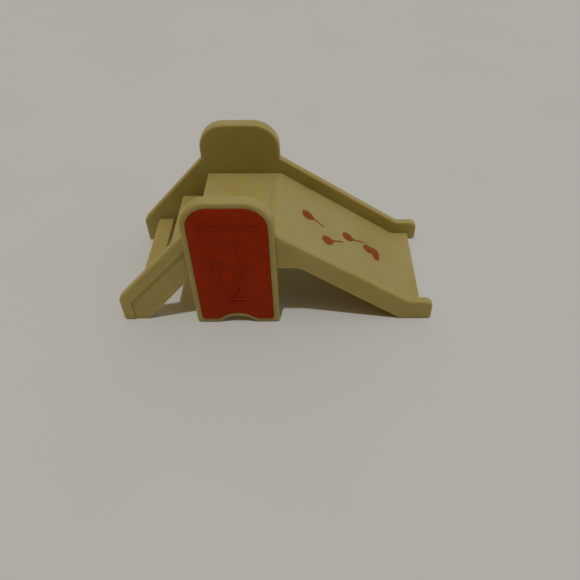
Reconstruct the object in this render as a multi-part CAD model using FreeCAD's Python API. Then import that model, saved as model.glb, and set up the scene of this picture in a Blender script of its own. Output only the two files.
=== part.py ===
"""Toy slide: two side walls joined by two steps, a platform and a slide bed, with a red panel on each leg.

Lengths are millimetres.  While the pieces are drawn, x runs from the stair end (0) to the slide end,
z is height above the floor and y is zero midway between the walls.  placed() moves a finished piece
so that the origin is under the middle of the toy.
"""

import FreeCAD, Part
import math
import os

# Overall
LENGTH = 80.0
INSIDE_WIDTH = 30.5          # between the two side walls
WALL = 2.1                   # thickness of a side wall
SOFT_EDGE = 0.55             # rounding along the walls' edges
FOOT_RADIUS = 0.8            # rounding of the feet's lower corners

# Leg, with the head above it
LEG_LEFT = 19.3
LEG_RIGHT = 40.55
HEAD_TOP = 37.8
HEAD_RADIUS = 7.0
LEG_PROUD = 1.0              # how far the leg stands out of the wall's face
RAIL_START = 28.0            # height at which both rails leave the head
INSIDE_LEG = 3.0             # how far the rails run on into the leg

# Arch cut under each leg
ARCH_WIDTH = 9.6
ARCH_TOP_WIDTH = 3.6
ARCH_HEIGHT = 2.1
ARCH_FOOT_RADIUS = 3.0
ARCH_TOP_RADIUS = 4.5

# Stair side
STAIR_RAIL_END = 7.6         # height of the rail's corner at the stair end
STAIR_RAIL_RADIUS = 3.6
STAIR_FOOT = 6.4             # length of the foot on the floor
STAIR_UNDERSIDE = 14.6       # height at which the underside meets the leg
BAND = 2.9                   # width of the raised band along the stair rail
BAND_STEP = 0.35             # how far the face below the band is set back
BAND_RADIUS = 0.8

# Slide side
RUN_OUT_START = 72.77        # where the slope becomes the flat run-out
RUN_OUT_TOP = 2.36
RUN_OUT_END = 77.6
RUN_OUT_RADIUS = 4.0         # of the bend into the run-out
RUN_OUT_NOSE = 0.6           # rounding of its front edge
LIP_START = 73.9
LIP_TOP = 6.1
LIP_RADIUS = 2.1
LIP_BEND = 3.0               # radius where the rail turns level into the lip
SLIDE_FOOT = 71.7
UNDERSIDE_HEIGHT = 17.7      # height of the wall's flat lower edge beside the leg
UNDERSIDE_END = 45.9         # where that edge starts down to the foot
UNDERSIDE_RADIUS = 2.0

# Steps, platform and slide bed
BOARD = 2.0                  # their thickness
NOSE = 0.4                   # rounding of the front edges
BOARD_EDGE = 0.2             # rounding of the other edges
STEPS = {"lower_step": (4.53, 8.73, 8.0), "upper_step": (12.67, 17.7, 16.08)}  # front, back, top
PLATFORM_FRONT = 20.67
PLATFORM_TOP = 23.43
BED_SEAM = 38.6              # where the platform ends and the bed begins
BED_CREST = 40.73            # where the bed starts down
CREST_RADIUS = 2.5
CREST_UNDER_RADIUS = 1.0
TONGUE_LENGTH = 3.0          # the bed's tongue under the platform
TONGUE = 1.2                 # its thickness
TONGUE_EDGE = 0.3

# Tabs on the boards' ends, in blind slots in the walls
TAB_DEPTH = 1.0
TAB_THICK = 1.1
TAB_GAP = 0.05               # clearance all round a tab
TAB_LENGTH = 5.0
STEP_TAB_MARGIN = 0.9        # from a step's edges to its tab
PLATFORM_TABS = (1.5, 7.5)   # one starts this far behind the front edge, one this far before the seam
BED_TABS = (4.0, 16.0, 28.0)  # where they start, down the slope from the crest

# Red panel in its pocket
RIM = 1.4                    # cream border left round the panel
POCKET = 0.5
PANEL_PROUD = 0.3            # how far the panel stands out of the border
PANEL_EDGE = 0.25
RELIEF = 0.22                # height of the ornament on the panel
LINE = 0.42                  # width of the ornament's lines

# Raised balloons on the panel: middle, half sizes and how far the string bows sideways
BALLOONS = [(32.4, 25.6, 1.75, 2.1, 0.9), (26.2, 20.4, 1.75, 2.1, -0.7), (30.9, 14.8, 1.4, 1.7, -0.3)]
KNOT = (30.4, 8.4)           # where the strings meet
KNOT_RADIUS = 0.59
LOOP_HALF = (1.15, 0.8)      # half sizes of a loop of the bow
LOOP_OFFSET = 0.92           # from the knot to a loop's middle

# Garland across the top of the panel
SCALLOPS = 5
GARLAND_MARGIN = 3.2         # from the leg's sides to its ends
GARLAND_TOP = 32.4
GARLAND_SAG = 1.5

# Ink on the bed, a thin film.  Places are (down the slope from the crest, across).
FILM = 0.05
STRING_WIDTH = 0.5
PRINTED_BALLOONS = {         # middle, radius and the string's end
    "upper_balloon_print": ((8.5, 2.6), 1.65, (13.8, 1.0)),
    "near_balloon_print": ((14.7, -3.8), 1.6, (19.8, -1.2)),
    "far_balloon_print": ((21.4, 2.1), 1.6, (27.2, 3.5)),
}
PRINTED_BOW = [((28.3, 1.5), 1.6), ((30.6, 1.4), 1.6), ((30.9, -0.6), 1.15)]  # middle and radius of lobes

LEG_MIDDLE = (LEG_LEFT + LEG_RIGHT) / 2
FACE = INSIDE_WIDTH / 2      # y of a wall's inner face, far side
BED_SLOPE = math.atan2(PLATFORM_TOP - RUN_OUT_TOP, RUN_OUT_START - BED_CREST)
ACROSS = FreeCAD.Vector(0, 1, 0)
UP = FreeCAD.Vector(0, 0, 1)
NEAR = 1e-4                  # lengths closer than this count as equal
CLEAR = 1.0                  # how far a cutting solid reaches past what it cuts


# ---------------------------------------------------------------- drawing helpers

def point(x, z, y=0.0):
    return FreeCAD.Vector(x, y, z)


def corner(before, at, after, radius):
    """The arc that rounds one corner of an outline: its start, middle and end, or the sharp corner."""
    if radius <= 0:
        return [at]
    to_before = (before - at).normalize()
    to_after = (after - at).normalize()
    half = to_before.getAngle(to_after) / 2
    bisector = (to_before + to_after).normalize()
    centre = at + bisector * (radius / math.sin(half))
    reach = radius / math.tan(half)
    return [at + to_before * reach, centre - bisector * radius, at + to_after * reach]


def outline(corners, y):
    """Closed face in the x-z plane at y.  Each corner is (x, z, radius)."""
    tips = [point(x, z, y) for x, z, _ in corners]
    count = len(tips)
    turns = [corner(tips[i - 1], tips[i], tips[(i + 1) % count], corners[i][2]) for i in range(count)]
    edges = []
    for i, turn in enumerate(turns):
        if len(turn) == 3:
            edges.append(Part.Arc(*turn).toShape())
        start, end = turn[-1], turns[(i + 1) % count][0]
        if start.distanceToPoint(end) > NEAR:
            edges.append(Part.LineSegment(start, end).toShape())
    return Part.Face(Part.Wire(edges))


def slab(corners, y_low, y_high):
    """Solid of that outline between two values of y."""
    return outline(corners, y_low).extrude(ACROSS * (y_high - y_low))


def block(x_low, x_high, y_low, y_high, z_low, z_high):
    size = (x_high - x_low, y_high - y_low, z_high - z_low)
    return Part.makeBox(*size, point(x_low, z_low, y_low))


def face_edges(shape, y):
    """Every edge of a solid that lies in the plane of that y."""
    return [e for e in shape.Edges if all(abs(v.Y - y) < NEAR for v in e.Vertexes)
            and abs(e.CenterOfMass.y - y) < NEAR]


def beside_leg(edge, y):
    """True for the inside corner where the leg stands out of the wall's face."""
    middle = edge.CenterOfMass
    on_side = min(abs(middle.x - LEG_LEFT), abs(middle.x - LEG_RIGHT)) < NEAR
    return on_side and abs(middle.y - y) < NEAR


def mirrored(shape):
    """The same piece on the other side of the toy."""
    return shape.mirror(FreeCAD.Vector(0, 0, 0), ACROSS)


def placed(shape):
    copy = shape.copy()
    copy.translate(FreeCAD.Vector(-LENGTH / 2, 0, 0))
    return copy


# ---------------------------------------------------------------- outlines

def arch(inset=0.0):
    """The wave cut out of the leg's foot, from right to left.  inset lifts it for the panel."""
    half = ARCH_WIDTH / 2
    top = ARCH_TOP_WIDTH / 2
    return [(LEG_MIDDLE + half, inset, ARCH_FOOT_RADIUS),
            (LEG_MIDDLE + top, ARCH_HEIGHT + inset, ARCH_TOP_RADIUS),
            (LEG_MIDDLE - top, ARCH_HEIGHT + inset, ARCH_TOP_RADIUS),
            (LEG_MIDDLE - half, inset, ARCH_FOOT_RADIUS)]


def leg_outline(inset=0.0):
    """Leg and head together, or the panel's outline when inset is the width of its border."""
    left = LEG_LEFT + inset
    right = LEG_RIGHT - inset
    top = HEAD_TOP - inset
    radius = HEAD_RADIUS - inset
    return [(left, inset, FOOT_RADIUS), (left, top, radius), (right, top, radius),
            (right, inset, FOOT_RADIUS), *arch(inset)]


def stair_outline():
    """Rail and stringer beside the steps, running on into the leg."""
    inside_leg = LEG_LEFT + INSIDE_LEG
    rail_slope = (RAIL_START - STAIR_RAIL_END) / LEG_LEFT
    under_slope = STAIR_UNDERSIDE / (LEG_LEFT - STAIR_FOOT)
    return [(0, 0, FOOT_RADIUS), (0, STAIR_RAIL_END, STAIR_RAIL_RADIUS),
            (inside_leg, STAIR_RAIL_END + rail_slope * inside_leg, 0),
            (inside_leg, under_slope * (inside_leg - STAIR_FOOT), 0), (STAIR_FOOT, 0, FOOT_RADIUS)]


def slide_outline():
    """Rail, side plate and lip beside the bed, running on into the leg."""
    inside_leg = LEG_RIGHT - INSIDE_LEG
    rail_slope = (RAIL_START - LIP_TOP) / (LIP_START - LEG_RIGHT)
    return [(LENGTH, 0, FOOT_RADIUS), (SLIDE_FOOT, 0, FOOT_RADIUS),
            (UNDERSIDE_END, UNDERSIDE_HEIGHT, UNDERSIDE_RADIUS), (inside_leg, UNDERSIDE_HEIGHT, 0),
            (inside_leg, RAIL_START + INSIDE_LEG * rail_slope, 0),
            (LIP_START, LIP_TOP, LIP_BEND), (LENGTH, LIP_TOP, LIP_RADIUS)]


def recess_outline():
    """The face below the raised band of the stair rail."""
    rail_slope = (RAIL_START - STAIR_RAIL_END) / LEG_LEFT
    drop = BAND * math.sqrt(1 + rail_slope ** 2)
    corner_z = STAIR_RAIL_END - drop + rail_slope * BAND
    return [(BAND, -CLEAR, 0), (BAND, corner_z, BAND_RADIUS),
            (LEG_LEFT, STAIR_RAIL_END - drop + rail_slope * LEG_LEFT, 0), (LEG_LEFT, -CLEAR, 0)]


def bed_outline():
    """Bed from the seam with the platform, over the crest and down to the run-out."""
    drop = BOARD / math.cos(BED_SLOPE)
    fall = math.tan(BED_SLOPE)
    tongue_top = PLATFORM_TOP - BOARD
    tongue_low = tongue_top - TONGUE
    low_start = BED_CREST + (PLATFORM_TOP - drop - tongue_low) / fall
    low_end = RUN_OUT_START + (BOARD - drop) / fall
    return [(BED_SEAM, PLATFORM_TOP, 0), (BED_CREST, PLATFORM_TOP, CREST_RADIUS),
            (RUN_OUT_START, RUN_OUT_TOP, RUN_OUT_RADIUS), (RUN_OUT_END, RUN_OUT_TOP, RUN_OUT_NOSE),
            (RUN_OUT_END, RUN_OUT_TOP - BOARD, BOARD_EDGE),
            (low_end, RUN_OUT_TOP - BOARD, RUN_OUT_RADIUS - BOARD),
            (low_start, tongue_low, CREST_UNDER_RADIUS),
            (BED_SEAM - TONGUE_LENGTH, tongue_low, TONGUE_EDGE),
            (BED_SEAM - TONGUE_LENGTH, tongue_top, 0), (BED_SEAM, tongue_top, 0)]


# ---------------------------------------------------------------- tabs

def flat_tab(x_low, x_high, top, grow=0.0):
    """Tab at the far end of a level board.  grow turns it into the slot that takes it."""
    middle = top - BOARD / 2
    half = TAB_THICK / 2 + grow
    reach = TAB_DEPTH + grow
    return block(x_low - grow, x_high + grow, FACE, FACE + reach, middle - half, middle + half)


def on_slope(shape):
    """Moves a shape drawn level, with x and z from the crest, down onto the sloping bed."""
    shape.rotate(FreeCAD.Vector(0, 0, 0), ACROSS, math.degrees(BED_SLOPE))
    shape.translate(point(BED_CREST, PLATFORM_TOP))
    return shape


def slope_tab(start, grow=0.0):
    """Tab at the far edge of the sloping bed, start measured down the slope from the crest."""
    half = TAB_THICK / 2 + grow
    return on_slope(block(start - grow, start + TAB_LENGTH + grow, FACE, FACE + TAB_DEPTH + grow,
                          -BOARD / 2 - half, -BOARD / 2 + half))


def step_tabs(name, grow=0.0):
    front, back, top = STEPS[name]
    return [flat_tab(front + STEP_TAB_MARGIN, back - STEP_TAB_MARGIN, top, grow)]


def platform_tabs(grow=0.0):
    starts = (PLATFORM_FRONT + PLATFORM_TABS[0], BED_SEAM - PLATFORM_TABS[1])
    return [flat_tab(start, start + TAB_LENGTH, PLATFORM_TOP, grow) for start in starts]


def bed_tabs(grow=0.0):
    return [slope_tab(start, grow) for start in BED_TABS]


def with_tabs(board, tabs):
    """A board with its tabs at both ends."""
    return board.fuse(tabs + [mirrored(t) for t in tabs]).removeSplitter()


# ---------------------------------------------------------------- pieces

def side_wall():
    """Far side wall: rails, leg and head in one moulding, with slots inside and a pocket outside."""
    back = FACE + WALL
    front = back + LEG_PROUD
    wall = slab(stair_outline(), FACE, back)
    wall = wall.fuse([slab(slide_outline(), FACE, back), slab(leg_outline(), FACE, front)])
    wall = wall.removeSplitter()
    edges = [e for y in (FACE, back, front) for e in face_edges(wall, y)]
    wall = wall.makeFillet(SOFT_EDGE, [e for e in edges if not beside_leg(e, back)])
    recess = slab(recess_outline(), back - BAND_STEP, back + CLEAR)
    pocket = slab(leg_outline(RIM), front - POCKET, front + CLEAR)
    slots = [s for name in STEPS for s in step_tabs(name, TAB_GAP)]
    slots += platform_tabs(TAB_GAP) + bed_tabs(TAB_GAP)
    return wall.cut(slots + [recess, pocket])


def step(name):
    front, back, top = STEPS[name]
    low = top - BOARD
    corners = [(front, low, BOARD_EDGE), (back, low, BOARD_EDGE),
               (back, top, BOARD_EDGE), (front, top, NOSE)]
    return with_tabs(slab(corners, -FACE, FACE), step_tabs(name))


def platform():
    low = PLATFORM_TOP - BOARD
    corners = [(PLATFORM_FRONT, low, BOARD_EDGE), (BED_SEAM, low, 0), (BED_SEAM, PLATFORM_TOP, 0),
               (PLATFORM_FRONT, PLATFORM_TOP, NOSE)]
    return with_tabs(slab(corners, -FACE, FACE), platform_tabs())


def slide_bed():
    return with_tabs(slab(bed_outline(), -FACE, FACE), bed_tabs())


# ---------------------------------------------------------------- ornament on the red panel

def dot(x, z, radius, y):
    return Part.Face(Part.Wire(Part.Circle(point(x, z, y), ACROSS, radius).toShape()))


def ellipse(x, z, half_x, half_z, y):
    long_first = sorted([(half_x, point(x + half_x, z, y)), (half_z, point(x, z + half_z, y))],
                        key=lambda tip: -tip[0])
    return Part.Face(Part.Wire(Part.Ellipse(long_first[0][1], long_first[1][1], point(x, z, y)).toShape()))


def ring(x, z, half_x, half_z, y):
    return ellipse(x, z, half_x, half_z, y).cut(ellipse(x, z, half_x - LINE, half_z - LINE, y))


def bent_line(start, middle, end, y):
    """Line of constant width along an arc, with square ends."""
    path = Part.Arc(point(*start), point(*middle), point(*end)).toShape().Curve
    centre = (path.Center.x, path.Center.z)
    band = dot(*centre, path.Radius + LINE / 2, y).cut(dot(*centre, path.Radius - LINE / 2, y))
    hub = point(*centre, y)
    to_start = (point(*start, y) - hub).normalize()
    to_end = (point(*end, y) - hub).normalize()
    far = 3 * path.Radius
    rim = [hub + to_start * far, hub + (to_start + to_end).normalize() * far, hub + to_end * far]
    return band.common(Part.Face(Part.makePolygon([hub, *rim, hub])))


def garland(y):
    """Row of hanging scallops across the top of the panel, with a bead where two meet."""
    left = LEG_LEFT + GARLAND_MARGIN
    span = (LEG_RIGHT - LEG_LEFT - 2 * GARLAND_MARGIN) / SCALLOPS
    ends = [left + i * span for i in range(SCALLOPS + 1)]
    low = GARLAND_TOP - GARLAND_SAG
    swags = [bent_line((x, GARLAND_TOP), (x + span / 2, low), (x + span, GARLAND_TOP), y) for x in ends[:-1]]
    return swags + [dot(x, GARLAND_TOP, LINE, y) for x in ends]


def bouquet(y):
    """Balloons on strings that meet in a small bow."""
    faces = [ring(KNOT[0] + side * LOOP_OFFSET, KNOT[1], *LOOP_HALF, y) for side in (-1, 1)]
    faces.append(dot(*KNOT, KNOT_RADIUS, y))
    for x, z, half_x, half_z, sway in BALLOONS:
        tail = z - half_z + LINE / 2
        middle = ((x + KNOT[0]) / 2 + sway, (tail + KNOT[1]) / 2)
        faces.append(ring(x, z, half_x, half_z, y))
        faces.append(bent_line((x, tail), middle, KNOT, y))
    return faces


def relief(y):
    """The raised ornament as one solid layer on the panel's face."""
    faces = bouquet(y) + garland(y)
    joined = faces[0].fuse(faces[1:]).removeSplitter()
    return [face.extrude(ACROSS * RELIEF) for face in joined.Faces]


def red_panel():
    """Far red panel, resting on the floor of its pocket."""
    floor = FACE + WALL + LEG_PROUD - POCKET
    face = floor + POCKET + PANEL_PROUD
    plate = slab(leg_outline(RIM), floor, face)
    plate = plate.makeFillet(PANEL_EDGE, face_edges(plate, face))
    return plate.fuse(relief(face)).removeSplitter()


# ---------------------------------------------------------------- ink on the bed

def disc(middle, radius):
    return Part.Face(Part.Wire(Part.Circle(FreeCAD.Vector(*middle, 0), UP, radius).toShape()))


def stroke(start, end, width):
    """Straight printed line between two points of the bed."""
    a = FreeCAD.Vector(*start, 0)
    b = FreeCAD.Vector(*end, 0)
    side = (b - a).normalize().cross(UP) * (width / 2)
    return Part.Face(Part.makePolygon([a + side, b + side, b - side, a - side, a + side]))


def film(faces):
    """Thin film on the bed from overlapping faces."""
    return on_slope(faces[0].fuse(faces[1:]).removeSplitter().extrude(UP * FILM))


def printed_balloon(middle, radius, string_end):
    return film([disc(middle, radius), stroke(middle, string_end, STRING_WIDTH)])


# ---------------------------------------------------------------- the toy

def build():
    wall = side_wall()
    panel = red_panel()
    pieces = {
        "rear_side_wall": wall,
        "front_side_wall": mirrored(wall),
        "rear_red_panel": panel,
        "front_red_panel": mirrored(panel),
        "platform": platform(),
        "slide_bed": slide_bed(),
        "bow_print": film([disc(*lobe) for lobe in PRINTED_BOW]),
    }
    for name in STEPS:
        pieces[name] = step(name)
    for name, sizes in PRINTED_BALLOONS.items():
        pieces[name] = printed_balloon(*sizes)
    return pieces


os.makedirs("parts", exist_ok=True)
for name, shape in build().items():
    placed(shape).exportStep("parts/" + name + ".step")
    print(name, "valid", shape.isValid(), "solids", len(shape.Solids), "volume", round(shape.Volume, 2))
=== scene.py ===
"""Looks of the toy slide: moulded plastic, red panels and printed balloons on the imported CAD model.

Sizes are in millimetres unless a comment says otherwise, turned into metres by MM where they meet Blender.
The frame has X along the slide, stair end first, Y across and Z up from the floor.
"""
import math

import bmesh
import bpy
import numpy as np
from mathutils import Matrix, Vector
from mathutils.geometry import delaunay_2d_cdt
from mathutils.kdtree import KDTree


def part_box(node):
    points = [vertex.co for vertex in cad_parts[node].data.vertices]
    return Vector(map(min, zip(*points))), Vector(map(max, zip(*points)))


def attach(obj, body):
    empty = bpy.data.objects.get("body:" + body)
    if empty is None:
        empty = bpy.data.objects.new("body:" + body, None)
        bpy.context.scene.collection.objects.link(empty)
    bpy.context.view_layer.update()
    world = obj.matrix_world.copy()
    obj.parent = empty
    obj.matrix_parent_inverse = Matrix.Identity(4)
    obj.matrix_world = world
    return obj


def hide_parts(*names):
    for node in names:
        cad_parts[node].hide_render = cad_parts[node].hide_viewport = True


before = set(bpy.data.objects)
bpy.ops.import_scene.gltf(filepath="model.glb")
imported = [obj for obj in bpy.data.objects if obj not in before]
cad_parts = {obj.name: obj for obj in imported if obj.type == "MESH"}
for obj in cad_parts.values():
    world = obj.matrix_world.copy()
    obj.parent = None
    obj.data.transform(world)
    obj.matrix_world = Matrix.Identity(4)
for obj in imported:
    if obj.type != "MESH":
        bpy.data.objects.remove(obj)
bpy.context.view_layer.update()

MM = 0.001
NEAR = 0.01                  # lengths closer than this count as equal
CREAM_NODES = ["front_side_wall", "rear_side_wall", "platform", "slide_bed", "lower_step", "upper_step"]

# ---------------------------------------------------------------- camera

CAMERA_PLACE = (8.7, -117.35, 109.9)
CAMERA_DOWN = 44.79          # degrees below the horizon
CAMERA_TURN = 0.20           # degrees to the right of +Y
CAMERA_ROLL = 0.08
CAMERA_LENS = 35.18
CAMERA_SHIFT = -0.0386
SENSOR = 36.0


def make_camera():
    data = bpy.data.cameras.new("camera")
    data.lens = CAMERA_LENS
    data.sensor_width = SENSOR
    data.shift_x = CAMERA_SHIFT
    data.clip_start = MM
    camera = bpy.data.objects.new("camera", data)
    camera.location = Vector(CAMERA_PLACE) * MM
    turn = Matrix.Rotation(math.radians(-CAMERA_TURN), 4, "Z")
    down = Matrix.Rotation(math.radians(90 - CAMERA_DOWN), 4, "X")
    roll = Matrix.Rotation(math.radians(-CAMERA_ROLL), 4, "Z")
    camera.rotation_euler = (turn @ down @ roll).to_euler()
    bpy.context.scene.collection.objects.link(camera)
    bpy.context.scene.camera = camera


# ---------------------------------------------------------------- light

KEY_FROM = (-0.04, -0.21, 1.0)
KEY_SPREAD = 2.2             # degrees across
KEY_STRENGTH = 1.04
KEY_COLOUR = (0.88, 0.97, 1.0)

# Broad soft lights: where each comes from, how narrow it is, and its colour times its strength.
SKY = {
    "ceiling": ((0, 0, 1), 12, (0.71, 0.49, 0.12)),
    "behind": ((0, 1, 0.35), 2, (0.42, 0.44, 0.38)),
    "stair_side": ((-1, 0, 1), 8, (0.36, 0.30, 0.10)),
    "slide_side": ((1, 0, 1), 8, (0.88, 0.94, 1.15)),
}
BACKDROP = (0.50, 0.475, 0.42)  # plain tone beyond the edge of the floor, which lights nothing
FLOOR_SIZE = 6.0             # metres


def make_sun():
    data = bpy.data.lights.new("key", "SUN")
    data.energy = KEY_STRENGTH
    data.color = KEY_COLOUR
    data.angle = math.radians(KEY_SPREAD)
    lamp = bpy.data.objects.new("key", data)
    lamp.rotation_euler = Vector(KEY_FROM).to_track_quat("Z", "Y").to_euler()
    bpy.context.scene.collection.objects.link(lamp)


def make_sky():
    world = bpy.data.worlds.new("studio")
    world.use_nodes = True
    tree = world.node_tree
    towards = add(tree, "ShaderNodeTexCoord").outputs["Generated"]
    total = None
    for direction, narrowness, colour in SKY.values():
        facing = calculate(tree, "MAXIMUM", dot(tree, towards, Vector(direction).normalized()), 0.0)
        facing = calculate(tree, "POWER", facing, narrowness)
        lobe = add(tree, "ShaderNodeVectorMath", {0: colour, "Scale": facing}, operation="SCALE").outputs[0]
        if total is not None:
            lobe = add(tree, "ShaderNodeVectorMath", {0: total, 1: lobe}, operation="ADD").outputs[0]
        total = lobe
    seen = add(tree, "ShaderNodeLightPath").outputs["Is Camera Ray"]
    tree.links.new(mix(tree, seen, total, BACKDROP), tree.nodes["Background"].inputs["Color"])
    bpy.context.scene.world = world


def make_floor():
    bpy.ops.mesh.primitive_plane_add(size=FLOOR_SIZE)
    floor = bpy.context.object
    floor.name = "floor"
    floor.data.materials.append(pale_paper())


# ---------------------------------------------------------------- shader nodes

NOISE_ROUGHNESS = 0.55
CLOSENESS_SAMPLES = 6
SPECK_CORE = 0.6             # part of a speck's radius that is fully dark


def add(tree, kind, inputs=None, **settings):
    """New shader node; each input is a plain value or the socket that feeds it."""
    node = tree.nodes.new(kind)
    for name, value in settings.items():
        setattr(node, name, value)
    for name, value in (inputs or {}).items():
        if isinstance(value, bpy.types.NodeSocket):
            tree.links.new(value, node.inputs[name])
        else:
            node.inputs[name].default_value = value
    return node


def calculate(tree, operation, first, second=0.0):
    return add(tree, "ShaderNodeMath", {0: first, 1: second}, operation=operation).outputs[0]


def dot(tree, first, second):
    return add(tree, "ShaderNodeVectorMath", {0: first, 1: second}, operation="DOT_PRODUCT").outputs["Value"]


def spread(tree, value, low, high, to_low=0.0, to_high=1.0):
    """value from low to high turned into to_low to to_high, and held there outside."""
    inputs = {"Value": value, "From Min": low, "From Max": high, "To Min": to_low, "To Max": to_high}
    return add(tree, "ShaderNodeMapRange", inputs).outputs["Result"]


def as_colour(value):
    return value if isinstance(value, bpy.types.NodeSocket) else (*value, 1)


def mix(tree, factor, first, second):
    """Colour that goes from first to second; the node's colour sockets are inputs 6, 7 and output 2."""
    inputs = {"Factor": factor, 6: as_colour(first), 7: as_colour(second)}
    return add(tree, "ShaderNodeMix", inputs, data_type="RGBA").outputs[2]


def noise(tree, size, detail=2.0, stretch=(1, 1, 1)):
    """Noise from 0 to 1 with blotches about size across, longer along the axes with a small stretch."""
    place = add(tree, "ShaderNodeTexCoord").outputs["Object"]
    place = add(tree, "ShaderNodeMapping", {"Vector": place, "Scale": stretch}).outputs[0]
    inputs = {"Vector": place, "Scale": 1 / (size * MM), "Detail": detail, "Roughness": NOISE_ROUGHNESS}
    return add(tree, "ShaderNodeTexNoise", inputs).outputs["Fac"]


def specks(tree, spacing, radius):
    """1 inside small round specks about spacing apart, 0 elsewhere."""
    place = add(tree, "ShaderNodeTexCoord").outputs["Object"]
    inputs = {"Vector": place, "Scale": 1 / (spacing * MM), "Randomness": 1.0}
    cells = add(tree, "ShaderNodeTexVoronoi", inputs).outputs["Distance"]
    return spread(tree, cells, SPECK_CORE * radius / spacing, radius / spacing, 1.0, 0.0)


def closeness(tree, reach, inside):
    """1 where other surface is near: round corners and creases, or with inside at the piece's own edges."""
    settings = {"samples": CLOSENESS_SAMPLES, "inside": inside, "only_local": inside}
    open_part = add(tree, "ShaderNodeAmbientOcclusion", {"Distance": reach * MM}, **settings)
    return calculate(tree, "SUBTRACT", 1.0, open_part.outputs["AO"])


def bumps(tree, layers):
    """Normal of a surface with bumps, each layer (height from 0 to 1, depth)."""
    normal = None
    for height, depth in layers:
        inputs = {"Height": height, "Distance": depth * MM, "Strength": 1.0}
        if normal is not None:
            inputs["Normal"] = normal
        normal = add(tree, "ShaderNodeBump", inputs).outputs["Normal"]
    return normal


def new_material(name):
    material = bpy.data.materials.new(name)
    material.use_nodes = True
    return material, material.node_tree, material.node_tree.nodes["Principled BSDF"]


def finish_shader(tree, shader, colour, roughness, normal, gloss):
    tree.links.new(colour, shader.inputs["Base Color"])
    tree.links.new(roughness, shader.inputs["Roughness"])
    tree.links.new(normal, shader.inputs["Normal"])
    shader.inputs["Specular IOR Level"].default_value = gloss


# ---------------------------------------------------------------- materials
# In these recipes noise, specks and closeness take sizes in millimetres, and bumps takes depths.
# Noise stays mostly between 0.3 and 0.7, so the limits that spread gives it lie there.

# Colours are linear red, green and blue.
CREAM = (0.45, 0.376, 0.136)
CREAM_AGED = (0.412, 0.33, 0.106)
CREAM_EDGE = (0.31, 0.225, 0.07)
# Grime specks, and painted shade in creases and corners.
CREAM_GRIME_AND_SHADE = (0.17, 0.12, 0.04)
RED = (0.40, 0.030, 0.010)
# Rubbed paint, and a painted highlight on the relief.
RED_WORN_AND_HIGHLIGHT = (0.52, 0.075, 0.025)
# Darker patches in the paint, and painted shade round the relief.
RED_DARK_AND_SHADE = (0.19, 0.010, 0.004)
INK = (0.29, 0.056, 0.010)
INK_THIN = (0.33, 0.105, 0.035)
FLOOR = (0.855, 0.82, 0.75)
FLOOR_SHADE = (0.835, 0.80, 0.73)

PLASTIC_GLOSS = 0.35
PAINT_GLOSS = 0.12
INK_GLOSS = 0.25
PAPER_GLOSS = 0.2
GLOW = 0.6                   # share of the light that spreads inside the plastic
GLOW_DEPTH = 3.0             # how far it spreads
GLOW_COLOUR = (1.0, 0.7, 0.25)  # how far each of red, green and blue does, in parts of that


def moulded_plastic():
    """Cream plastic that has yellowed unevenly, with grime and painted shade in its corners and creases, and
    rubbed edges.
    """
    material, tree, shader = new_material("cream_plastic")
    ageing = spread(tree, noise(tree, 14, 3.0), 0.35, 0.65)
    mottle = spread(tree, noise(tree, 1.1, 3.0), 0.3, 0.7, 0.0, 0.35)
    colour = mix(tree, ageing, CREAM, CREAM_AGED)
    colour = mix(tree, mottle, colour, CREAM_AGED)
    edge = spread(tree, closeness(tree, 0.9, True), 0.45, 0.95, 0.0, 0.5)
    edge = calculate(tree, "MULTIPLY", edge, spread(tree, noise(tree, 2.5, 3.0), 0.35, 0.6, 0.3, 1.0))
    colour = mix(tree, edge, colour, CREAM_EDGE)
    # Painted shade, also standing for grime: darker where other surface is near, in creases, in corners and
    # where the piece meets another piece or the floor.
    crease_shade = spread(tree, closeness(tree, 1.2, False), 0.4, 0.95, 0.0, 0.35)
    colour = mix(tree, crease_shade, colour, CREAM_GRIME_AND_SHADE)
    colour = mix(tree, calculate(tree, "MULTIPLY", specks(tree, 4.5, 0.13), 0.35), colour, CREAM_GRIME_AND_SHADE)
    scratch = spread(tree, noise(tree, 0.35, 2.0, (0.06, 1, 0.1)), 0.56, 0.7)
    roughness = spread(tree, noise(tree, 5, 2.0), 0.3, 0.7, 0.40, 0.52)
    roughness = calculate(tree, "ADD", roughness, calculate(tree, "MULTIPLY", scratch, 0.08))
    normal = bumps(tree, [(noise(tree, 7, 1.0), 0.05), (noise(tree, 0.30, 2.0), 0.009), (scratch, -0.004)])
    finish_shader(tree, shader, colour, roughness, normal, PLASTIC_GLOSS)
    shader.inputs["Subsurface Weight"].default_value = GLOW
    shader.inputs["Subsurface Scale"].default_value = GLOW_DEPTH * MM
    shader.inputs["Subsurface Radius"].default_value = GLOW_COLOUR
    return material


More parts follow.
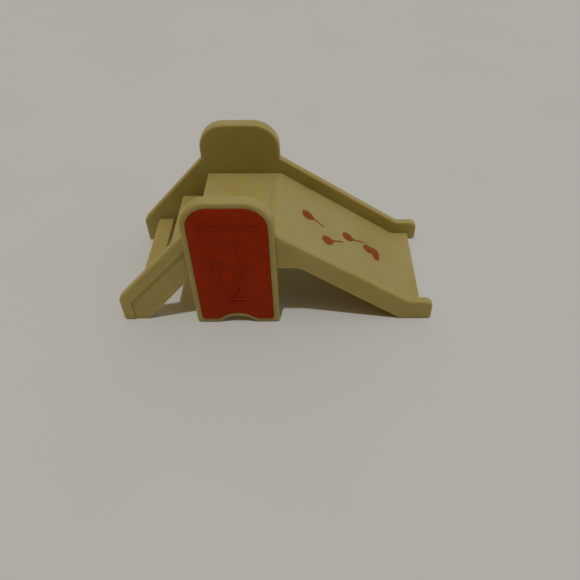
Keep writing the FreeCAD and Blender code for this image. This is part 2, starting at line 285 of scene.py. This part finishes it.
def red_paint():
    """Red paint on the panels: lighter on the relief, as rubbed paint and a painted highlight, and darker
    round it as painted shade.
    """
    material, tree, shader = new_material("red_paint")
    patch = spread(tree, noise(tree, 6, 3.0), 0.35, 0.7, 0.0, 0.28)
    colour = mix(tree, patch, RED, RED_DARK_AND_SHADE)
    # Lighter red on the ridges and the panel's edge: rubbed paint, and a painted highlight.
    rubbed_and_highlight = spread(tree, closeness(tree, 0.35, True), 0.2, 0.6, 0.0, 0.9)
    rubbed_and_highlight = calculate(tree, "MULTIPLY", rubbed_and_highlight, spread(tree, noise(tree, 1.6, 3.0), 0.3, 0.6, 0.3, 1.0))
    colour = mix(tree, rubbed_and_highlight, colour, RED_WORN_AND_HIGHLIGHT)
    # Painted shade: darker red where other surface is near, round the foot of the relief and along the rim.
    crease_shade = spread(tree, closeness(tree, 0.6, False), 0.04, 0.28, 0.0, 0.9)
    colour = mix(tree, crease_shade, colour, RED_DARK_AND_SHADE)
    roughness = spread(tree, noise(tree, 3, 3.0), 0.3, 0.7, 0.42, 0.56)
    normal = bumps(tree, [(noise(tree, 2.5, 2.0), 0.02), (noise(tree, 0.28, 2.0), 0.007)])
    finish_shader(tree, shader, colour, roughness, normal, PAINT_GLOSS)
    return material


def printing_ink():
    """Red ink that lies a little unevenly on the plastic."""
    material, tree, shader = new_material("red_ink")
    thin = spread(tree, noise(tree, 0.7, 3.0), 0.42, 0.72, 0.0, 0.7)
    colour = mix(tree, thin, INK, INK_THIN)
    roughness = spread(tree, noise(tree, 1.0, 2.0), 0.3, 0.7, 0.42, 0.55)
    normal = bumps(tree, [(noise(tree, 0.22, 2.0), 0.008)])
    finish_shader(tree, shader, colour, roughness, normal, INK_GLOSS)
    return material


def pale_paper():
    """Pale matt paper for the floor."""
    material, tree, shader = new_material("pale_paper")
    colour = mix(tree, spread(tree, noise(tree, 60, 2.0), 0.35, 0.65), FLOOR, FLOOR_SHADE)
    roughness = spread(tree, noise(tree, 2.0), 0.3, 0.7, 0.6, 0.7)
    normal = bumps(tree, [(noise(tree, 0.6, 2.0), 0.012)])
    finish_shader(tree, shader, colour, roughness, normal, PAPER_GLOSS)
    return material


# ---------------------------------------------------------------- curves in a plane

def along(points, step):
    """Points about step apart on the line through the given points."""
    points = np.asarray(points, float)
    run = np.concatenate([[0.0], np.cumsum(np.linalg.norm(np.diff(points, axis=0), axis=1))])
    count = max(2, int(math.ceil(run[-1] / step)) + 1)
    at = np.linspace(0.0, run[-1], count)
    return np.stack([np.interp(at, run, points[:, axis]) for axis in (0, 1)], axis=1)


def smooth_curve(points, closed=False, pieces=12):
    """Smooth curve through the given points (Catmull-Rom), in so many pieces from one to the next."""
    points = np.asarray(points, float)
    if closed:
        padded = np.concatenate([points[-1:], points, points[:2]])
    else:
        padded = np.concatenate([2 * points[:1] - points[1:2], points, 2 * points[-1:] - points[-2:-1]])
    t = np.linspace(0.0, 1.0, pieces, endpoint=False)[:, None]
    curve = []
    for a, b, c, d in zip(padded, padded[1:], padded[2:], padded[3:]):
        curve.append(b + 0.5 * t * (c - a + t * (2 * a - 5 * b + 4 * c - d + t * (3 * (b - c) + d - a))))
    if not closed:
        curve.append(points[-1:])
    return np.concatenate(curve)


def circle(centre, half_x, half_z, count=48):
    angle = np.linspace(0.0, 2 * math.pi, count + 1)
    return np.stack([centre[0] + half_x * np.cos(angle), centre[1] + half_z * np.sin(angle)], axis=1)


def inward(loop):
    """Unit vectors that point into a closed loop, one at each of its points."""
    tangent = np.roll(loop, -1, axis=0) - np.roll(loop, 1, axis=0)
    normal = np.stack([-tangent[:, 1], tangent[:, 0]], axis=1)
    normal /= np.linalg.norm(normal, axis=1)[:, None]
    x, z = loop[:, 0], loop[:, 1]
    turning = np.sum(x * np.roll(z, -1) - np.roll(x, -1) * z)
    return normal if turning > 0 else -normal


# ---------------------------------------------------------------- red panels

LINE_TOP = 0.30              # width of the relief's ridges on top
LINE_FLANK = 0.20            # width of each sloping side
RELIEF = 0.22
PANEL_EDGE = 0.42            # rounding of the panel's edge
EDGE_RINGS = (0.08, 0.3, 0.62, 1.0, 1.5)  # rings of mesh inside the outline, in parts of that rounding
PANEL_FINE = 0.10            # spacing of the mesh on the relief
PANEL_COARSE = 0.85          # spacing on the plain part
OUTLINE_STEP = 0.3           # spacing along the panel's outline
RIDGE_STEP = 0.05            # spacing of the points that mark a ridge's centre line

# Places on the panel are measured from the leg's middle, and up from the floor.
KNOT = (0.475, 8.4)          # where the strings meet
BOW_LOOP = (1.0, 0.6)        # half width and half height of a loop of the bow

# Balloons: middle, half width, half height and how far the string bows sideways
BALLOONS = [
    (2.475, 25.6, 1.54, 1.89, 0.9),
    (-3.725, 20.4, 1.54, 1.89, -0.7),
    (0.975, 14.8, 1.19, 1.49, -0.3),
]
GARLAND_TOP = 32.4
GARLAND_SAG = 1.5
GARLAND_HALF = 7.4
SCALLOPS = 5
SCALLOP_POINTS = 20          # on each scallop


def ornament():
    """Centre lines of the raised ornament: balloons on strings, a bow, and a garland above."""
    lines = [circle((KNOT[0] + side * BOW_LOOP[0], KNOT[1]), *BOW_LOOP) for side in (-1, 1)]
    for x, z, half_x, half_z, sway in BALLOONS:
        tail = (x, z - half_z)
        middle = ((x + KNOT[0]) / 2 + sway, (tail[1] + KNOT[1]) / 2)
        lines.append(circle((x, z), half_x, half_z))
        lines.append(smooth_curve([tail, middle, KNOT]))
    span = 2 * GARLAND_HALF / SCALLOPS
    x = np.linspace(-GARLAND_HALF, GARLAND_HALF, SCALLOP_POINTS * SCALLOPS + 1)
    sag = GARLAND_SAG * np.abs(np.sin(math.pi * (x + GARLAND_HALF) / span))
    lines.append(np.stack([x, GARLAND_TOP - sag], axis=1))
    return np.concatenate([along(line, RIDGE_STEP) for line in lines])


def soft_step(t):
    """0 below 0, 1 above 1, and a smooth rise between."""
    t = np.clip(t, 0.0, 1.0)
    return t * t * (3.0 - 2.0 * t)


def nearest(points, targets):
    """Distance from each point to the nearest target, in a plane."""
    tree = KDTree(len(targets))
    for index, (x, z) in enumerate(targets):
        tree.insert((x, z, 0.0), index)
    tree.balance()
    return np.array([tree.find((x, z, 0.0))[2] for x, z in points])


def back_outline(node, back):
    """The outline of a panel's flat back, as a loop of (x, z) in millimetres."""
    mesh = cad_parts[node].data
    places = [tuple(round(value / MM, 3) for value in vertex.co) for vertex in mesh.vertices]
    uses = {}
    for face in mesh.polygons:
        corners = [places[index] for index in face.vertices]
        if all(abs(corner[1] - back) < NEAR for corner in corners):
            for first, second in zip(corners, corners[1:] + corners[:1]):
                uses.setdefault(frozenset((first, second)), []).append((first, second))
    following = dict(edges[0] for edges in uses.values() if len(edges) == 1)
    loop = [next(iter(following))]
    while following[loop[-1]] != loop[0]:
        loop.append(following[loop[-1]])
    return np.array([(x, z) for x, _, z in loop])


def panel_grid(half_width, height, ridges):
    """Points over the panel, close together on the relief and wide apart on the rest."""
    fine_x = np.arange(-half_width, half_width, PANEL_FINE)
    fine_z = np.arange(0.0, height, PANEL_FINE)
    fine = np.stack(np.meshgrid(fine_x, fine_z), axis=-1).reshape(-1, 2)
    every = int(PANEL_COARSE / PANEL_FINE)
    coarse = np.stack(np.meshgrid(fine_x[::every], fine_z[::every]), axis=-1).reshape(-1, 2)
    reach = LINE_TOP / 2 + LINE_FLANK + PANEL_FINE
    fine = fine[nearest(fine, ridges) < reach]
    coarse = coarse[nearest(coarse, ridges) >= reach]
    return np.concatenate([fine, coarse])


def panel_points(node, back, middle, ridges):
    """The panel's outline and its mesh points, as (x from the leg's middle, z)."""
    loop = back_outline(node, back)
    loop = along(np.concatenate([loop, loop[:1]]), OUTLINE_STEP)[:-1] - (middle, 0.0)
    steps = PANEL_EDGE * np.array(EDGE_RINGS)
    rings = [loop + inward(loop) * step for step in steps]
    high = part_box(node)[1]
    grid = panel_grid(high[0] / MM - middle, high[2] / MM, ridges)
    grid = grid[nearest(grid, loop) > steps[-1]]
    return loop, np.concatenate([loop, *rings, grid])


def panel_height(flat, loop, ridges):
    """Height of the panel's face at each point, 0 on the plain part: a rounded edge and the ridges."""
    short = PANEL_EDGE - np.minimum(nearest(flat, loop), PANEL_EDGE)
    drop = PANEL_EDGE - np.sqrt(np.maximum(PANEL_EDGE ** 2 - short ** 2, 0.0))
    ridge = RELIEF * soft_step(1.0 - (nearest(flat, ridges) - LINE_TOP / 2) / LINE_FLANK)
    return ridge - drop


def join_loops(mesh, first, second):
    """Faces between two closed loops of as many points each."""
    count = len(first)
    for i in range(count):
        j = (i + 1) % count
        mesh.faces.new((first[i], first[j], second[j], second[i]))


def close_back(mesh, rim, back):
    """Sides from the rim of the face straight to the flat back, and the back itself."""
    foot = [mesh.verts.new((vertex.co.x, back * MM, vertex.co.z)) for vertex in rim]
    join_loops(mesh, rim, foot)
    mesh.faces.new(foot)


def red_panel(node, outward):
    """A panel with soft moulded relief, inside the CAD panel's outline; outward is the side it faces."""
    low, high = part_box(node)
    back = (low[1] if outward > 0 else high[1]) / MM
    front = (high[1] if outward > 0 else low[1]) / MM
    middle = (low[0] + high[0]) / 2 / MM
    ridges = ornament()
    loop, points = panel_points(node, back, middle, ridges)
    edges = [(i, (i + 1) % len(loop)) for i in range(len(loop))]
    result = delaunay_2d_cdt([Vector(point) for point in points], edges, [], 1, 1e-6)
    flat = np.array([tuple(vertex) for vertex in result[0]])
    depth = front + outward * (panel_height(flat, loop, ridges) - RELIEF)
    mesh = bmesh.new()
    tops = [mesh.verts.new(((x + middle) * MM, y * MM, z * MM)) for (x, z), y in zip(flat, depth)]
    for face in result[2]:
        mesh.faces.new([tops[index] for index in face])
    place = {source: index for index, sources in enumerate(result[3]) for source in sources}
    close_back(mesh, [tops[place[i]] for i in range(len(loop))], back)
    return finish_piece(mesh, node + "_relief", red, node)


# ---------------------------------------------------------------- printed balloons

INK_FILM = 0.045             # thickness
INK_RIM = 0.09               # width of the film's sloping rim
INK_EDGE = 0.4               # part of the thickness that stands upright at the outline
INK_ROOT = -0.01             # where the film starts, just under the bed's surface
INK_STEP = 0.12              # spacing of its points
STRING = 0.24                # half the width of a printed string
BALLOON_TAIL = 1.45          # length of a balloon's narrowing part, in radii
SLOPING = 0.2                # both parts of the normal of the bed's slope pass this

# Radius and centre line of each balloon.  The line runs from the balloon's crown through its middle
# to the string's end, as (distance down the slope from its crest, distance across).
BALLOON_PRINTS = {
    "upper_balloon_print": (1.68, [(6.85, 2.75), (8.5, 2.6), (10.3, 2.2), (12.1, 1.65), (13.9, 1.0)]),
    "near_balloon_print": (1.62, [(13.4, -4.75), (14.7, -3.8), (16.4, -2.95), (18.1, -2.0), (19.9, -1.15)]),
    "far_balloon_print": (1.62, [(19.8, 1.95), (21.4, 2.1), (23.3, 2.2), (25.2, 2.75), (27.2, 3.4)]),
}
BOW_PRINT = [(26.75, 1.7), (27.9, 3.0), (29.3, 2.8), (30.7, 3.15), (32.0, 2.3), (32.2, 0.8),
             (31.9, -0.9), (31.0, -1.75), (30.0, -1.1), (29.7, 0.0), (28.6, -0.1), (27.2, 0.45)]


def bed_plane():
    """The crest's middle on the bed, the way down the slope and the slope's normal."""
    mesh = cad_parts["slide_bed"].data
    faces = [face for face in mesh.polygons if min(face.normal.x, face.normal.z) > SLOPING]
    face = max(faces, key=lambda item: item.area)
    normal = face.normal.normalized()
    down = Vector((normal.z, 0.0, -normal.x))
    on_face = face.center
    crest_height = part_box("platform")[1][2]
    crest = on_face - down * ((on_face.z - crest_height) / down.z)
    return Vector((crest.x, 0.0, crest.z)), down, normal


def balloon_outline(radius, centre_line):
    """Outline of a balloon that narrows to its string."""
    line = along(smooth_curve(centre_line), INK_STEP)
    run = np.concatenate([[0.0], np.cumsum(np.linalg.norm(np.diff(line, axis=0), axis=1))])
    crown = np.sqrt(np.maximum(1.0 - ((run - radius) / radius) ** 2, 0.0))
    tail = np.maximum(1.0 - ((run - radius) / (BALLOON_TAIL * radius)) ** 2, 0.0)
    half = radius * np.where(run < radius, crown, tail)
    half = np.maximum(half, np.minimum(STRING, run))
    half = half * np.sqrt(np.clip((run[-1] - run) / STRING, 0.0, 1.0))
    tangent = np.gradient(line, axis=0)
    tangent /= np.linalg.norm(tangent, axis=1)[:, None]
    across = np.stack([-tangent[:, 1], tangent[:, 0]], axis=1) * half[:, None]
    left, right = line + across, line - across
    return np.concatenate([left, right[-2:0:-1]])


def ink_film(node, outline):
    """A thin film on the slope with a sloping rim."""
    crest, down, normal = bed_plane()
    across = Vector((0.0, 1.0, 0.0))
    inner = outline + inward(outline) * INK_RIM
    mesh = bmesh.new()
    loops = []
    for loop, height in ((outline, INK_ROOT), (outline, INK_EDGE * INK_FILM), (inner, INK_FILM)):
        spots = [crest + (down * s + across * t + normal * height) * MM for s, t in loop]
        loops.append([mesh.verts.new(spot) for spot in spots])
    for low, high in zip(loops, loops[1:]):
        join_loops(mesh, low, high)
    mesh.faces.new(loops[-1])
    mesh.faces.new(loops[0][::-1])
    return finish_piece(mesh, node + "_film", ink, node)


# ---------------------------------------------------------------- putting it together

def finish_piece(mesh, name, material, node):
    """Turns the mesh into a piece on the body that stands for the CAD node."""
    bmesh.ops.recalc_face_normals(mesh, faces=mesh.faces)
    for face in mesh.faces:
        face.smooth = True
    data = bpy.data.meshes.new(name)
    mesh.to_mesh(data)
    mesh.free()
    data.materials.append(material)
    piece = bpy.data.objects.new(name, data)
    bpy.context.scene.collection.objects.link(piece)
    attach(piece, "root")
    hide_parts(node)
    return piece


def dress(nodes, material):
    for name in nodes:
        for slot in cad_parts[name].material_slots:
            slot.material = material


make_camera()
make_sun()
make_sky()
make_floor()
cream = moulded_plastic()
red = red_paint()
ink = printing_ink()
dress(CREAM_NODES, cream)
red_panel("front_red_panel", -1)
red_panel("rear_red_panel", 1)
for print_name, (radius, centre_line) in BALLOON_PRINTS.items():
    ink_film(print_name, balloon_outline(radius, centre_line))
ink_film("bow_print", smooth_curve(BOW_PRINT, closed=True))
